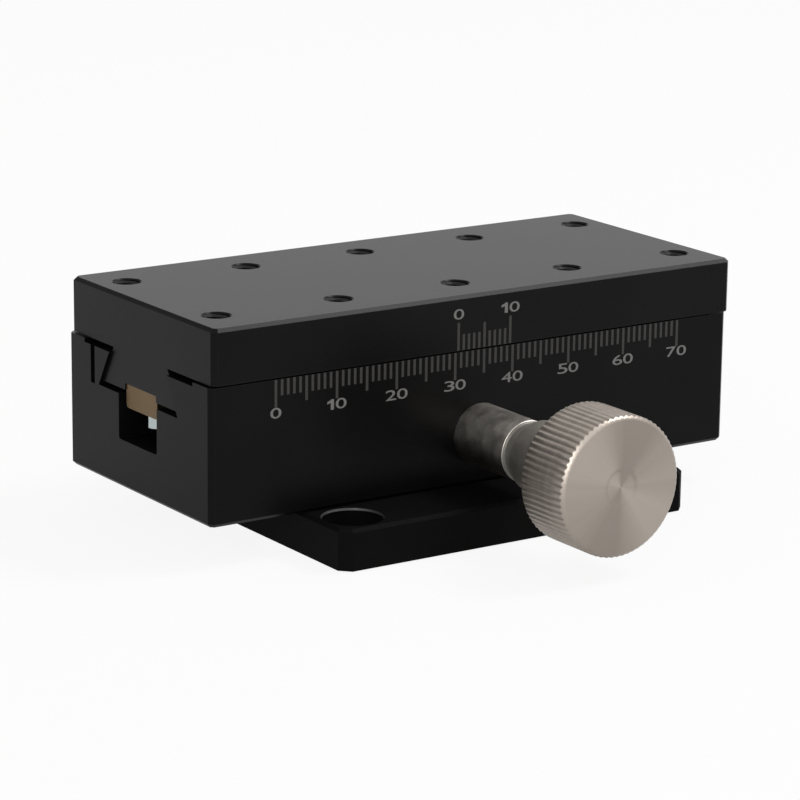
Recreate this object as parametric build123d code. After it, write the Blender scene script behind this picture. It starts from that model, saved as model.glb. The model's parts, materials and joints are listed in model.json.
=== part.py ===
from build123d import *

import math
import os

# Dovetail linear stage driven by a rack and pinion: a 40 x 90 mm table slides along X on a
# body that stands on a nearly square foot plate. Millimetres, +X along the travel, -Y towards the
# knob, +Z up. The origin is the centre of the foot plate's underside. The table is drawn
# REST_OFFSET to the right of centre, where its vernier reads half a millimetre past 30.

# ---- foot plate, body and table blocks ----
STAGE_LENGTH = 90.0
STAGE_WIDTH = 40.0
FOOT_LENGTH = 60.0
FOOT_WIDTH = 61.0
FOOT_HEIGHT = 6.0
FOOT_CORNER = 1.5
BODY_HEIGHT = 19.8
SEAM = 0.2
TABLE_HEIGHT = 8.0
EDGE_CHAMFER = 0.5
CORNER_CHAMFER = 0.75
REST_OFFSET = 0.5

# ---- dovetail slide ----
DOVETAIL_WIDTH = 21.6
DOVETAIL_HEIGHT = 5.6
DOVETAIL_ANGLE = 60.0
SLIDE_CLEARANCE = 0.03
GROOVE_DEPTH = 6.05
LAND_RECESS_WIDTH = 30.6
LAND_RECESS_DEPTH = 0.6
GIB_SLIT_OFFSET = 12.3
GIB_SLIT_WIDTH = 1.2
GIB_SLIT_BELOW_FLOOR = 0.1
CHANNEL_WIDTH = 10.8
CHANNEL_DEPTH = 6.65
CHANNEL_RADIUS = 0.4

# ---- rack and pinion ----
GEAR_MODULE = 0.5
GEAR_TEETH = 20
PRESSURE_ANGLE = 20.0
BACKLASH = 0.05
TIP_CLEARANCE = 0.25
GEAR_FACE = 6.6
GEAR_HUB_RADIUS = 4.0
GEAR_HUB_LENGTH = 2.7
GEAR_ROOM = 0.4
POCKET_RADIUS = 1.5
RACK_WIDTH = 8.7
RACK_HEIGHT = 3.5
RACK_SEAT = 0.95
RACK_EDGE_RADIUS = 0.6
RACK_END_GAP = 0.2
FLANK_POINTS = 5

# ---- knob shaft, its bushes and washers ----
SHAFT_RADIUS = 2.5
SHAFT_CLEARANCE = 0.03
SHAFT_RELIEF = 0.3
BUSH_WALL = 1.0
FRONT_BUSH_LENGTH = 8.0
REAR_BUSH_WALL = 1.5
REAR_BUSH_LENGTH = 6.0
SLEEVE_RADIUS = 4.5
SLEEVE_REACH = 12.0
SLEEVE_CHAMFER = 0.3
WASHER_THICKNESS = 0.5
WASHER_RADIUS = 4.0
SPRING_THICKNESS = 0.2
SPRING_DISH = 0.15
KNOB_WASHER_THICKNESS = 0.3
RUNNING_GAP = 0.05
PINION_PIN_RADIUS = 0.75

# ---- knob ----
KNOB_RADIUS = 10.0
KNOB_LENGTH = 10.0
KNOB_CHAMFER = 0.6
KNURL_RIDGES = 68
KNURL_DEPTH = 0.15
HUB_RADIUS = 5.2
HUB_NOSE_RADIUS = 4.2
HUB_NOSE_LENGTH = 2.2
HUB_LENGTH = 11.05
SHAFT_IN_KNOB = 16.0
DIMPLE_RADIUS = 1.0
DIMPLE_DEPTH = 0.3

# ---- fasteners and their holes ----
FIT_GAP = 0.02
TABLE_THREAD_RADIUS = 2.0
TABLE_HOLE_PITCH_X = 20.0
TABLE_HOLE_PITCH_Y = 25.0
TABLE_HOLE_COLUMNS = 5
TABLE_HOLE_BEVEL = 0.2
FOOT_HOLE_PITCH = 50.0
FOOT_HOLE_RADIUS = 2.75
FOOT_BORE_RADIUS = 4.5
FOOT_BORE_DEPTH = 4.0
BASE_SCREW_PITCH_X = 34.0
BASE_SCREW_PITCH_Y = 24.0
BASE_SCREW_RADIUS = 2.0
BASE_SCREW_HEAD_RADIUS = 4.0
BASE_SCREW_GRIP = 6.0
BASE_SCREW_SINK = 0.3
BASE_HOLE_ALLOWANCE = 0.25
THREAD_RUNOUT = 1.0
GIB_SCREW_RADIUS = 1.5
GIB_SCREW_SINK = 1.7
GIB_SCREW_PITCH = 30.0
GIB_SCREW_COUNT = 3
GIB_SCREW_DROP = 3.5
SLEEVE_SCREW_RADIUS = 1.5
SLEEVE_SCREW_INSET = 7.5
SLEEVE_SCREW_SINK = 0.3
KNOB_SCREW_RADIUS = 1.25
KNOB_SCREW_PLACE = 5.5
KNOB_SCREW_SINK = 0.2
RACK_SCREW_RADIUS = 1.25
RACK_SCREW_HEAD_RADIUS = 2.1
RACK_SCREW_HEAD_HEIGHT = 1.2
RACK_SCREW_GRIP = 5.0
RACK_SCREW_SINK = 0.15
STOP_PIN_RADIUS = 1.25
STOP_PIN_SPREAD = 42.4
STOP_PIN_REACH = 2.5
STOP_PIN_GRIP = 2.0
PIN_TO_RACK_SCREW = 4.0

# ---- heights and places that follow from the sizes above ----
BODY_BOTTOM = FOOT_HEIGHT
BODY_TOP = BODY_BOTTOM + BODY_HEIGHT
TABLE_BOTTOM = BODY_TOP + SEAM
TABLE_TOP = TABLE_BOTTOM + TABLE_HEIGHT
DOVETAIL_FOOT = TABLE_BOTTOM - DOVETAIL_HEIGHT
GROOVE_FLOOR = BODY_TOP - GROOVE_DEPTH
CHANNEL_FLOOR = GROOVE_FLOOR - CHANNEL_DEPTH
CHANNEL_WALL = CHANNEL_WIDTH / 2
RACK_TOP = DOVETAIL_FOOT + RACK_SEAT
RACK_TIPS = RACK_TOP - RACK_HEIGHT
PITCH_LINE = RACK_TIPS + GEAR_MODULE
RACK_ROOTS = PITCH_LINE + GEAR_MODULE * (1 + TIP_CLEARANCE)
PITCH_RADIUS = GEAR_MODULE * GEAR_TEETH / 2
GEAR_TIP = PITCH_RADIUS + GEAR_MODULE
GEAR_ROOT = PITCH_RADIUS - GEAR_MODULE * (1 + TIP_CLEARANCE)
AXIS_Z = PITCH_LINE - PITCH_RADIUS
RACK_LENGTH = STAGE_LENGTH - 2 * RACK_END_GAP
FRONT_FACE = -STAGE_WIDTH / 2
REAR_FACE = STAGE_WIDTH / 2
SLEEVE_FRONT = FRONT_FACE - SLEEVE_REACH
HUB_BACK = SLEEVE_FRONT - KNOB_WASHER_THICKNESS - RUNNING_GAP
KNOB_BACK = HUB_BACK - HUB_LENGTH
GEAR_FRONT = -CHANNEL_WALL + WASHER_THICKNESS + RUNNING_GAP
GEAR_HUB_FRONT = GEAR_FRONT + GEAR_FACE
GEAR_REAR = GEAR_HUB_FRONT + GEAR_HUB_LENGTH
REAR_BUSH_END = CHANNEL_WALL + REAR_BUSH_LENGTH
BUSH_BORE = SHAFT_RADIUS + SHAFT_CLEARANCE
FRONT_BUSH_RADIUS = SHAFT_RADIUS + BUSH_WALL
REAR_BUSH_RADIUS = SHAFT_RADIUS + REAR_BUSH_WALL
GIB_SCREW_HEIGHT = BODY_TOP - GIB_SCREW_DROP
GIB_SCREW_TIP = GIB_SLIT_OFFSET + FIT_GAP
GIB_SCREW_END = REAR_FACE - GIB_SCREW_SINK
RACK_SCREW_SPREAD = STOP_PIN_SPREAD - PIN_TO_RACK_SCREW


def bar_along_x(outline, length, centre=0.0):
    """Solid of constant section: outline holds (y, z) points, and the bar is centred on X."""
    face = Plane.YZ * make_face(Polyline(*outline, close=True))
    return Pos(centre, 0, 0) * extrude(face, amount=length / 2, both=True)


def prism_along_y(outline, y_from, y_to):
    """Solid of constant section along Y: outline holds (x, z) points."""
    face = Plane.XZ * make_face(Polyline(*outline, close=True))
    return Pos(0, y_to, 0) * extrude(face, amount=y_to - y_from)


def box_between(x_range, y_range, z_range):
    """Box that fills the three ranges, each a pair of limits."""
    low = [min(pair) for pair in (x_range, y_range, z_range)]
    high = [max(pair) for pair in (x_range, y_range, z_range)]
    size = [b - a for a, b in zip(low, high)]
    middle = [(a + b) / 2 for a, b in zip(low, high)]
    return Pos(*middle) * Box(*size)


def rod_along_y(radius, y_from, y_to, x=0.0, z=AXIS_Z):
    """Round bar along Y, on the knob's axis unless another place is given."""
    place = Pos(x, (y_from + y_to) / 2, z) * Rot(90, 0, 0)
    return place * Cylinder(radius, abs(y_to - y_from))


def rod_along_z(radius, z_from, z_to, x=0.0, y=0.0):
    """Round upright bar."""
    return Pos(x, y, (z_from + z_to) / 2) * Cylinder(radius, abs(z_to - z_from))


def turned_from(profile, y_start):
    """Body of revolution about the knob's axis.

    The profile holds (radius, distance) points, the distance measured from y_start to the front.
    """
    face = Plane.XZ * make_face(Polyline(*profile, close=True))
    return Pos(0, y_start, AXIS_Z) * Rot(90, 0, 0) * revolve(face, axis=Axis.Z)


def hex_socket(width, depth, place):
    """Key recess whose mouth lies at the given place and whose depth runs along its +Z."""
    return place * extrude(RegularPolygon(width / math.sqrt(3), 6), amount=depth)


def mirrored_places(pitch_x, pitch_y):
    """Four corners of a rectangle of hole centres."""
    return [(sx * pitch_x / 2, sy * pitch_y / 2) for sx in (-1, 1) for sy in (-1, 1)]


def gib_screw_places():
    """X of each screw that presses the gib, evenly spaced about the middle."""
    first = -GIB_SCREW_PITCH * (GIB_SCREW_COUNT - 1) / 2
    return [first + GIB_SCREW_PITCH * i for i in range(GIB_SCREW_COUNT)]


def rack_screw_places():
    """X of the rack screws in the table's own frame."""
    return [-RACK_SCREW_SPREAD, 0.0, RACK_SCREW_SPREAD]


def slanted_half_width(z, widening=0.0):
    """Half width of the dovetail at height z, each slanted face moved out by the widening."""
    slope = math.tan(math.radians(DOVETAIL_ANGLE))
    sideways = widening / math.sin(math.radians(DOVETAIL_ANGLE))
    return DOVETAIL_WIDTH / 2 - (z - DOVETAIL_FOOT) / slope + sideways


def make_base_plate():
    """Foot plate with four counterbored holes and four holes for the body's screws."""
    plate = Pos(0, 0, FOOT_HEIGHT / 2) * Box(FOOT_LENGTH, FOOT_WIDTH, FOOT_HEIGHT)
    plate = chamfer(plate.edges().filter_by(Axis.Z), FOOT_CORNER)
    plate = chamfer(plate.faces().sort_by(Axis.Z)[-1].edges(), EDGE_CHAMFER)
    for x, y in mirrored_places(FOOT_HOLE_PITCH, FOOT_HOLE_PITCH):
        plate -= rod_along_z(FOOT_HOLE_RADIUS, -1, FOOT_HEIGHT + 1, x, y)
        plate -= rod_along_z(FOOT_BORE_RADIUS, FOOT_HEIGHT - FOOT_BORE_DEPTH, FOOT_HEIGHT + 1, x, y)
    shank = BASE_SCREW_RADIUS + BASE_HOLE_ALLOWANCE
    for x, y in mirrored_places(BASE_SCREW_PITCH_X, BASE_SCREW_PITCH_Y):
        plate -= rod_along_z(shank, -1, FOOT_HEIGHT + 1, x, y)
        plate -= Pos(x, y, 0) * screw_head_cone(FIT_GAP)
    return plate


def screw_head_cone(allowance):
    """Countersunk head with its flat face at height 0 and its shank upwards, plus the sink below."""
    height = BASE_SCREW_HEAD_RADIUS - BASE_SCREW_RADIUS
    outline = [
        (0, 0),
        (BASE_SCREW_HEAD_RADIUS + allowance, 0),
        (BASE_SCREW_HEAD_RADIUS + allowance, BASE_SCREW_SINK),
        (BASE_SCREW_RADIUS + allowance, BASE_SCREW_SINK + height),
        (0, BASE_SCREW_SINK + height),
    ]
    return revolve(Plane.XZ * make_face(Polyline(*outline, close=True)), axis=Axis.Z)


def make_base_screws():
    """Four countersunk screws that hold the body down on the foot plate, from below."""
    head_height = BASE_SCREW_HEAD_RADIUS - BASE_SCREW_RADIUS
    top = BODY_BOTTOM + BASE_SCREW_GRIP
    outline = [
        (0, BASE_SCREW_SINK),
        (BASE_SCREW_HEAD_RADIUS, BASE_SCREW_SINK),
        (BASE_SCREW_RADIUS, BASE_SCREW_SINK + head_height),
        (BASE_SCREW_RADIUS, top),
        (0, top),
    ]
    screw = revolve(Plane.XZ * make_face(Polyline(*outline, close=True)), axis=Axis.Z)
    screw -= hex_socket(1.25 * BASE_SCREW_RADIUS, head_height, Pos(0, 0, BASE_SCREW_SINK))
    return [Pos(x, y, 0) * screw for x, y in mirrored_places(BASE_SCREW_PITCH_X, BASE_SCREW_PITCH_Y)]


def make_slide_body():
    """Body block with the female dovetail, the slit gib, the rack channel and the shaft bores."""
    long, high = STAGE_LENGTH + 2, BODY_TOP + 1
    body = Pos(0, 0, BODY_BOTTOM + BODY_HEIGHT / 2) * Box(STAGE_LENGTH, STAGE_WIDTH, BODY_HEIGHT)
    body = chamfer(body.edges().filter_by(Axis.Z), CORNER_CHAMFER)
    body = chamfer(body.faces().sort_by(Axis.Z)[0].edges(), EDGE_CHAMFER)
    half_land = LAND_RECESS_WIDTH / 2
    body -= box_between((-long, long), (-half_land, half_land), (BODY_TOP - LAND_RECESS_DEPTH, high))
    mouth = slanted_half_width(high, SLIDE_CLEARANCE)
    floor = slanted_half_width(GROOVE_FLOOR, SLIDE_CLEARANCE)
    groove = [(-floor, GROOVE_FLOOR), (floor, GROOVE_FLOOR), (mouth, high), (-mouth, high)]
    body -= bar_along_x(groove, long)
    body -= rack_channel(long)
    body -= gear_pocket()
    slit_floor = GROOVE_FLOOR - GIB_SLIT_BELOW_FLOOR
    slit = (GIB_SLIT_OFFSET, GIB_SLIT_OFFSET + GIB_SLIT_WIDTH)
    body -= box_between((-long, long), slit, (slit_floor, high))
    body -= rod_along_y(SLEEVE_RADIUS + FIT_GAP, FRONT_FACE - 1, 0)
    body -= rod_along_y(REAR_BUSH_RADIUS + FIT_GAP, 0, REAR_BUSH_END + RUNNING_GAP)
    for x, y in mirrored_places(BASE_SCREW_PITCH_X, BASE_SCREW_PITCH_Y):
        depth = BODY_BOTTOM + BASE_SCREW_GRIP + THREAD_RUNOUT
        body -= rod_along_z(BASE_SCREW_RADIUS + FIT_GAP, BODY_BOTTOM - 1, depth, x, y)
    for x in gib_screw_places():
        body -= rod_along_y(GIB_SCREW_RADIUS + FIT_GAP, GIB_SLIT_OFFSET, REAR_FACE + 1, x, GIB_SCREW_HEIGHT)
    body -= rod_along_z(
        SLEEVE_SCREW_RADIUS + FIT_GAP, BODY_BOTTOM - 1, AXIS_Z, 0, FRONT_FACE + SLEEVE_SCREW_INSET
    )
    return body


def rack_channel(length):
    """Cutter for the channel that the rack runs in, with rounded bottom corners."""
    channel = box_between(
        (-length / 2, length / 2), (-CHANNEL_WALL, CHANNEL_WALL), (CHANNEL_FLOOR, GROOVE_FLOOR + 1)
    )
    floor_edges = channel.faces().sort_by(Axis.Z)[0].edges().filter_by(Axis.X)
    return fillet(floor_edges, CHANNEL_RADIUS)


def gear_pocket():
    """Cutter for the pocket that the pinion is dropped into from above."""
    reach = GEAR_TIP + GEAR_ROOM
    pocket = box_between(
        (-reach, reach), (-CHANNEL_WALL, CHANNEL_WALL), (AXIS_Z - reach, CHANNEL_FLOOR + 2)
    )
    return fillet(pocket.edges().filter_by(Axis.Z), POCKET_RADIUS)


def make_gib_screws():
    """Set screws from the rear that press the thin wall beside the slit against the dovetail."""
    screws = []
    for x in gib_screw_places():
        screw = rod_along_y(GIB_SCREW_RADIUS, GIB_SCREW_TIP, GIB_SCREW_END, x, GIB_SCREW_HEIGHT)
        mouth = Pos(x, GIB_SCREW_END, GIB_SCREW_HEIGHT) * Rot(90, 0, 0)
        screws.append(screw - hex_socket(GIB_SCREW_RADIUS, GIB_SCREW_RADIUS, mouth))
    return screws


def make_table_plate():
    """Table with its ten threaded holes and the male dovetail in one piece."""
    table = Pos(REST_OFFSET, 0, (TABLE_BOTTOM + TABLE_TOP) / 2)
    table = table * Box(STAGE_LENGTH, STAGE_WIDTH, TABLE_HEIGHT)
    table = chamfer(table.edges().filter_by(Axis.Z), CORNER_CHAMFER)
    table = chamfer(table.faces().sort_by(Axis.Z)[-1].edges(), EDGE_CHAMFER)
    inside = TABLE_BOTTOM + TABLE_HEIGHT / 4
    foot, neck = slanted_half_width(DOVETAIL_FOOT), slanted_half_width(TABLE_BOTTOM)
    dovetail = [
        (-foot, DOVETAIL_FOOT), (foot, DOVETAIL_FOOT), (neck, TABLE_BOTTOM),
        (neck, inside), (-neck, inside), (-neck, TABLE_BOTTOM),
    ]
    table += bar_along_x(dovetail, STAGE_LENGTH, REST_OFFSET)
    seat = RACK_WIDTH / 2 + FIT_GAP
    table -= box_between((-STAGE_LENGTH, STAGE_LENGTH), (-seat, seat), (DOVETAIL_FOOT - 1, RACK_TOP))
    first = -TABLE_HOLE_PITCH_X * (TABLE_HOLE_COLUMNS - 1) / 2
    for column in range(TABLE_HOLE_COLUMNS):
        for side in (-1, 1):
            x = REST_OFFSET + first + column * TABLE_HOLE_PITCH_X
            table -= threaded_hole(x, side * TABLE_HOLE_PITCH_Y / 2)
    for x in rack_screw_places():
        top = RACK_TOP + RACK_SCREW_GRIP
        table -= rod_along_z(RACK_SCREW_RADIUS + FIT_GAP, DOVETAIL_FOOT, top, x + REST_OFFSET)
    for side in (-1, 1):
        x = side * STOP_PIN_SPREAD + REST_OFFSET
        table -= rod_along_z(STOP_PIN_RADIUS + FIT_GAP, DOVETAIL_FOOT, RACK_TOP + STOP_PIN_GRIP, x)
    return table


def threaded_hole(x, y):
    """Cutter for one through hole of the table, with a small bevel at its mouth."""
    hole = rod_along_z(TABLE_THREAD_RADIUS, TABLE_BOTTOM - 1, TABLE_TOP + 1, x, y)
    bevel = Pos(x, y, TABLE_TOP - TABLE_HOLE_BEVEL / 2)
    return hole + bevel * Cone(TABLE_THREAD_RADIUS, TABLE_THREAD_RADIUS + TABLE_HOLE_BEVEL, TABLE_HOLE_BEVEL)


def rack_outline():
    """Side view of the rack, (x, z) points, with a tooth centred on the table's middle."""
    pitch = math.pi * GEAR_MODULE
    lean = math.tan(math.radians(PRESSURE_ANGLE))
    half_tip = pitch / 4 - (PITCH_LINE - RACK_TIPS) * lean - BACKLASH / 2
    half_root = pitch / 4 + (RACK_ROOTS - PITCH_LINE) * lean - BACKLASH / 2
    whole_teeth = int((RACK_LENGTH / 2 - half_root) / pitch) - 1
    left, right = REST_OFFSET - RACK_LENGTH / 2, REST_OFFSET + RACK_LENGTH / 2
    last = (whole_teeth + 1) * pitch
    points = [(left, RACK_TOP), (left, RACK_TIPS)]
    points += [(REST_OFFSET - last + half_tip, RACK_TIPS), (REST_OFFSET - last + half_root, RACK_ROOTS)]
    for tooth in range(-whole_teeth, whole_teeth + 1):
        x = REST_OFFSET + tooth * pitch
        points += [(x - half_root, RACK_ROOTS), (x - half_tip, RACK_TIPS)]
        points += [(x + half_tip, RACK_TIPS), (x + half_root, RACK_ROOTS)]
    points += [(REST_OFFSET + last - half_root, RACK_ROOTS), (REST_OFFSET + last - half_tip, RACK_TIPS)]
    points += [(right, RACK_TIPS), (right, RACK_TOP)]
    return points


def make_rack():
    """Brass rack, teeth down, let into the underside of the dovetail."""
    rack = prism_along_y(rack_outline(), -RACK_WIDTH / 2, RACK_WIDTH / 2)
    section = RectangleRounded(RACK_WIDTH, RACK_HEIGHT, RACK_EDGE_RADIUS)
    blank = extrude(Plane.YZ * section, amount=RACK_LENGTH / 2, both=True)
    rack = rack & Pos(REST_OFFSET, 0, (RACK_TOP + RACK_TIPS) / 2) * blank
    head_seat = RACK_ROOTS + RACK_SCREW_SINK + RACK_SCREW_HEAD_HEIGHT
    for x in rack_screw_places():
        rack -= rod_along_z(RACK_SCREW_HEAD_RADIUS + FIT_GAP, RACK_TIPS - 1, head_seat, x + REST_OFFSET)
        rack -= rod_along_z(RACK_SCREW_RADIUS + FIT_GAP, RACK_TIPS - 1, RACK_TOP + 1, x + REST_OFFSET)
    for side in (-1, 1):
        x = side * STOP_PIN_SPREAD + REST_OFFSET
        rack -= rod_along_z(STOP_PIN_RADIUS + FIT_GAP, RACK_TIPS - 1, RACK_TOP + 1, x)
    return rack


def make_rack_screws():
    """Cap screws that hold the rack, their heads sunk above the tooth roots."""
    head_bottom = RACK_ROOTS + RACK_SCREW_SINK
    head_top = head_bottom + RACK_SCREW_HEAD_HEIGHT
    end = RACK_TOP + RACK_SCREW_GRIP - THREAD_RUNOUT
    screw = rod_along_z(RACK_SCREW_HEAD_RADIUS, head_bottom, head_top)
    screw += rod_along_z(RACK_SCREW_RADIUS, head_bottom, end)
    screw -= hex_socket(RACK_SCREW_HEAD_RADIUS, RACK_SCREW_HEAD_HEIGHT / 2, Pos(0, 0, head_bottom))
    return [Pos(x + REST_OFFSET, 0, 0) * screw for x in rack_screw_places()]


def make_stop_pins():
    """Hardened pins through the rack's ends that meet the pinion just past the end of travel."""
    pins = []
    for side in (-1, 1):
        x = side * STOP_PIN_SPREAD + REST_OFFSET
        pin = rod_along_z(STOP_PIN_RADIUS, RACK_TIPS - STOP_PIN_REACH, RACK_TOP + STOP_PIN_GRIP, x)
        pins.append(chamfer(pin.faces().sort_by(Axis.Z)[0].edges(), EDGE_CHAMFER / 2))
    return pins


def involute_point(base_radius, radius, half_angle, hand):
    """Point of a tooth flank at a radius, the tooth's middle on +Z, (x, z) about the gear's centre."""
    roll = math.sqrt((radius / base_radius) ** 2 - 1)
    angle = hand * (half_angle - (roll - math.atan(roll)))
    return radius * math.sin(angle), radius * math.cos(angle)


def gear_outline():
    """Outline of the pinion, (x, z) points about its centre, turned to mesh at REST_OFFSET."""
    pressure = math.radians(PRESSURE_ANGLE)
    base = PITCH_RADIUS * math.cos(pressure)
    step = 2 * math.pi / GEAR_TEETH
    half = step / 4 - BACKLASH / 2 / PITCH_RADIUS + math.tan(pressure) - pressure
    start = max(base, GEAR_ROOT)
    radii = [start + (GEAR_TIP - start) * i / (FLANK_POINTS - 1) for i in range(FLANK_POINTS)]
    rising = [involute_point(base, r, half, -1) for r in radii]
    falling = [involute_point(base, r, half, 1) for r in reversed(radii)]
    foot_angle = half
    left = (-GEAR_ROOT * math.sin(foot_angle), GEAR_ROOT * math.cos(foot_angle))
    right = (GEAR_ROOT * math.sin(foot_angle), GEAR_ROOT * math.cos(foot_angle))
    tooth = [left] + rising + falling + [right]
    points = []
    for index in range(GEAR_TEETH):
        turn = REST_OFFSET / PITCH_RADIUS + (index + 0.5) * step
        cos_turn, sin_turn = math.cos(turn), math.sin(turn)
        points += [(x * cos_turn + z * sin_turn, z * cos_turn - x * sin_turn) for x, z in tooth]
    return points


def make_pinion_gear():
    """Pinion with a plain hub behind its teeth, cross-drilled for the pin."""
    gear = Pos(0, 0, AXIS_Z) * prism_along_y(gear_outline(), GEAR_FRONT, GEAR_HUB_FRONT)
    gear += rod_along_y(GEAR_HUB_RADIUS, GEAR_HUB_FRONT - GEAR_FACE / 2, GEAR_REAR)
    gear -= rod_along_y(SHAFT_RADIUS + FIT_GAP, GEAR_FRONT - 1, GEAR_REAR + 1)
    return gear - pin_across(PINION_PIN_RADIUS + FIT_GAP, 2 * GEAR_TIP)


def pin_across(radius, length):
    """Round bar along X through the middle of the gear's hub."""
    place = Pos(0, GEAR_REAR - GEAR_HUB_LENGTH / 2, AXIS_Z) * Rot(0, 90, 0)
    return place * Cylinder(radius, length)


def make_pinion_pin():
    """Pin that ties the pinion to the shaft."""
    return pin_across(PINION_PIN_RADIUS, 2 * GEAR_HUB_RADIUS - EDGE_CHAMFER)


def make_pinion_shaft():
    """Plain shaft from inside the knob to the rear bush."""
    end = REAR_BUSH_END - EDGE_CHAMFER
    shaft = rod_along_y(SHAFT_RADIUS, HUB_BACK - SHAFT_IN_KNOB, end)
    shaft = chamfer(shaft.faces().sort_by(Axis.Y)[-1].edges(), EDGE_CHAMFER)
    return shaft - pin_across(PINION_PIN_RADIUS + FIT_GAP, 2 * GEAR_TIP)


def make_pinion_sleeve():
    """Steel sleeve that carries the shaft in front of the body, held by a set screw from below."""
    sleeve = rod_along_y(SLEEVE_RADIUS, SLEEVE_FRONT, -CHANNEL_WALL)
    sleeve = chamfer(sleeve.faces().sort_by(Axis.Y)[0].edges(), SLEEVE_CHAMFER)
    sleeve -= rod_along_y(SHAFT_RADIUS + SHAFT_RELIEF, SLEEVE_FRONT - 1, 0)
    return sleeve - rod_along_y(
        FRONT_BUSH_RADIUS + FIT_GAP, SLEEVE_FRONT - 1, SLEEVE_FRONT + FRONT_BUSH_LENGTH
    )


def ring_along_y(outer, inner, y_from, y_to):
    """Plain ring about the knob's axis."""
    return rod_along_y(outer, y_from, y_to) - rod_along_y(inner, y_from - 1, y_to + 1)


def make_front_bush():
    """Bronze bush in the front end of the sleeve."""
    return ring_along_y(FRONT_BUSH_RADIUS, BUSH_BORE, SLEEVE_FRONT, SLEEVE_FRONT + FRONT_BUSH_LENGTH)


def make_rear_bush():
    """Bronze bush in the blind bore behind the pinion."""
    return ring_along_y(REAR_BUSH_RADIUS, BUSH_BORE, CHANNEL_WALL, REAR_BUSH_END)


def make_sleeve_screw():
    """Set screw under the body that holds the sleeve."""
    y = FRONT_FACE + SLEEVE_SCREW_INSET
    low, high = BODY_BOTTOM + SLEEVE_SCREW_SINK, AXIS_Z - SLEEVE_RADIUS - FIT_GAP
    screw = rod_along_z(SLEEVE_SCREW_RADIUS, low, high, 0, y)
    return screw - hex_socket(SLEEVE_SCREW_RADIUS, (high - low) / 2, Pos(0, y, low))


def make_thrust_washers():
    """Two thrust washers, one on each wall of the pinion's pocket."""
    front = ring_along_y(WASHER_RADIUS, BUSH_BORE, -CHANNEL_WALL, -CHANNEL_WALL + WASHER_THICKNESS)
    rear = ring_along_y(WASHER_RADIUS, BUSH_BORE, CHANNEL_WALL - WASHER_THICKNESS, CHANNEL_WALL)
    return [front, rear]


def make_disc_spring():
    """Dished spring between the pinion's hub and the rear washer, which takes up end play."""
    rear = CHANNEL_WALL - WASHER_THICKNESS
    inner, outer = BUSH_BORE, WASHER_RADIUS - EDGE_CHAMFER / 2
    profile = [
        (outer, 0), (outer, SPRING_THICKNESS),
        (inner, SPRING_THICKNESS + SPRING_DISH), (inner, SPRING_DISH),
    ]
    return turned_from(profile, rear)


def make_knob_washer():
    """Nylon washer between the sleeve and the knob's hub."""
    outer = SLEEVE_RADIUS - SLEEVE_CHAMFER
    return ring_along_y(outer, BUSH_BORE, SLEEVE_FRONT - KNOB_WASHER_THICKNESS, SLEEVE_FRONT)


def knurl_outline():
    """Straight knurl as a star of (x, z) points about the knob's centre."""
    points = []
    for step in range(2 * KNURL_RIDGES):
        radius = KNOB_RADIUS if step % 2 == 0 else KNOB_RADIUS - KNURL_DEPTH
        angle = math.pi * step / KNURL_RIDGES
        points.append((radius * math.sin(angle), radius * math.cos(angle)))
    return points


def make_knob():
    """Knurled knob and its hub with a tapered nose, bored for the shaft."""
    front = HUB_LENGTH + KNOB_LENGTH
    disc = turned_from(
        [
            (0, HUB_LENGTH), (KNOB_RADIUS - KNOB_CHAMFER, HUB_LENGTH),
            (KNOB_RADIUS, HUB_LENGTH + KNOB_CHAMFER), (KNOB_RADIUS, front - KNOB_CHAMFER),
            (KNOB_RADIUS - KNOB_CHAMFER, front), (DIMPLE_RADIUS, front), (0, front - DIMPLE_DEPTH),
        ],
        HUB_BACK,
    )
    star = Pos(0, 0, AXIS_Z) * prism_along_y(knurl_outline(), KNOB_BACK - KNOB_LENGTH - 1, KNOB_BACK + 1)
    middle = HUB_LENGTH + KNOB_LENGTH / 2
    hub = turned_from([(0, 0), (HUB_NOSE_RADIUS, 0), (HUB_RADIUS, HUB_NOSE_LENGTH),
                       (HUB_RADIUS, middle), (0, middle)], HUB_BACK)
    knob = (disc & star) + hub
    knob -= rod_along_y(SHAFT_RADIUS + FIT_GAP, HUB_BACK + 1, HUB_BACK - SHAFT_IN_KNOB - FIT_GAP)
    for place in knob_screw_places():
        knob -= place * Pos(0, 0, HUB_RADIUS) * Cylinder(KNOB_SCREW_RADIUS + FIT_GAP, 2 * HUB_RADIUS)
    return knob


def knob_screw_places():
    """Frames on the knob's axis whose +Z points out along each of the two set screws."""
    y = HUB_BACK - KNOB_SCREW_PLACE
    return [Pos(0, y, AXIS_Z) * Rot(0, turn, 0) for turn in (135, 225)]


def make_knob_screws():
    """Two set screws in the hub that grip the shaft."""
    low, high = SHAFT_RADIUS + FIT_GAP, HUB_RADIUS - KNOB_SCREW_SINK
    middle, length = (low + high) / 2, high - low
    screws = []
    for place in knob_screw_places():
        screw = place * Pos(0, 0, middle) * Cylinder(KNOB_SCREW_RADIUS, length)
        mouth = place * Pos(0, 0, high) * Rot(180, 0, 0)
        screws.append(screw - hex_socket(KNOB_SCREW_RADIUS, length / 2, mouth))
    return screws


PIECES = {
    "base_plate": make_base_plate,
    "base_screws": make_base_screws,
    "slide_body": make_slide_body,
    "gib_screws": make_gib_screws,
    "table_plate": make_table_plate,
    "rack": make_rack,
    "rack_screws": make_rack_screws,
    "stop_pins": make_stop_pins,
    "pinion_sleeve": make_pinion_sleeve,
    "sleeve_set_screw": make_sleeve_screw,
    "front_bush": make_front_bush,
    "rear_bush": make_rear_bush,
    "thrust_washers": make_thrust_washers,
    "disc_spring": make_disc_spring,
    "knob_washer": make_knob_washer,
    "pinion_shaft": make_pinion_shaft,
    "pinion_gear": make_pinion_gear,
    "pinion_pin": make_pinion_pin,
    "knob": make_knob,
    "knob_set_screws": make_knob_screws,
}


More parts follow.
